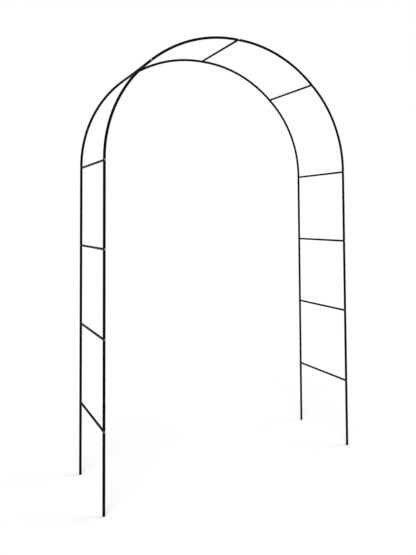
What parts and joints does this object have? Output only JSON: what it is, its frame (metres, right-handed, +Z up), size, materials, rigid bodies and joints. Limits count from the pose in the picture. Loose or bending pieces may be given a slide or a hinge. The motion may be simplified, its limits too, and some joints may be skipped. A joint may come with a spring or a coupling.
{
  "type": "garden arch",
  "caption": "Free-standing garden arch: parallel round-tube hoops joined by plain rungs, for climbing plants to grow over a path.",
  "frame": {"origin": "on the ground, in the middle of the footprint of the four feet", "axes": "+Z up, +X across the walkway to the right as seen from the front, +Y from the front hoop to the rear"},
  "size_m": [1.542, 0.4592, 2.4001],
  "materials": {
    "hoop_tube": "satin black powder coat on steel tube",
    "rung_tube": "satin black powder coat on steel tube",
    "screw": "yellow-passivated zinc plate",
    "insert": "bright zinc plate",
    "foot_plug": "moulded black polyethylene"
  },
  "bodies": {
    "root": {"crown_rung": "rung_tube", "front_left_crown_tube": "hoop_tube", "front_left_foot_plug": "foot_plug", "front_left_foot_tube": "hoop_tube", "front_left_haunch_tube": "hoop_tube", "front_left_lower_leg_tube": "hoop_tube", "front_left_middle_leg_tube": "hoop_tube", "front_left_upper_leg_tube": "hoop_tube", "front_right_crown_tube": "hoop_tube", "front_right_foot_plug": "foot_plug", "front_right_foot_tube": "hoop_tube", "front_right_haunch_tube": "hoop_tube", "front_right_lower_leg_tube": "hoop_tube", "front_right_middle_leg_tube": "hoop_tube", "front_right_upper_leg_tube": "hoop_tube", "front_rung_inserts": "insert", "front_screws": "screw", "left_haunch_rung": "rung_tube", "left_lower_rung": "rung_tube", "left_middle_rung": "rung_tube", "left_springing_rung": "rung_tube", "left_upper_rung": "rung_tube", "rear_left_crown_tube": "hoop_tube", "rear_left_foot_plug": "foot_plug", "rear_left_foot_tube": "hoop_tube", "rear_left_haunch_tube": "hoop_tube", "rear_left_lower_leg_tube": "hoop_tube", "rear_left_middle_leg_tube": "hoop_tube", "rear_left_upper_leg_tube": "hoop_tube", "rear_right_crown_tube": "hoop_tube", "rear_right_foot_plug": "foot_plug", "rear_right_foot_tube": "hoop_tube", "rear_right_haunch_tube": "hoop_tube", "rear_right_lower_leg_tube": "hoop_tube", "rear_right_middle_leg_tube": "hoop_tube", "rear_right_upper_leg_tube": "hoop_tube", "rear_rung_inserts": "insert", "rear_screws": "screw", "right_haunch_rung": "rung_tube", "right_lower_rung": "rung_tube", "right_middle_rung": "rung_tube", "right_springing_rung": "rung_tube", "right_upper_rung": "rung_tube"}
  },
  "joints": []
}
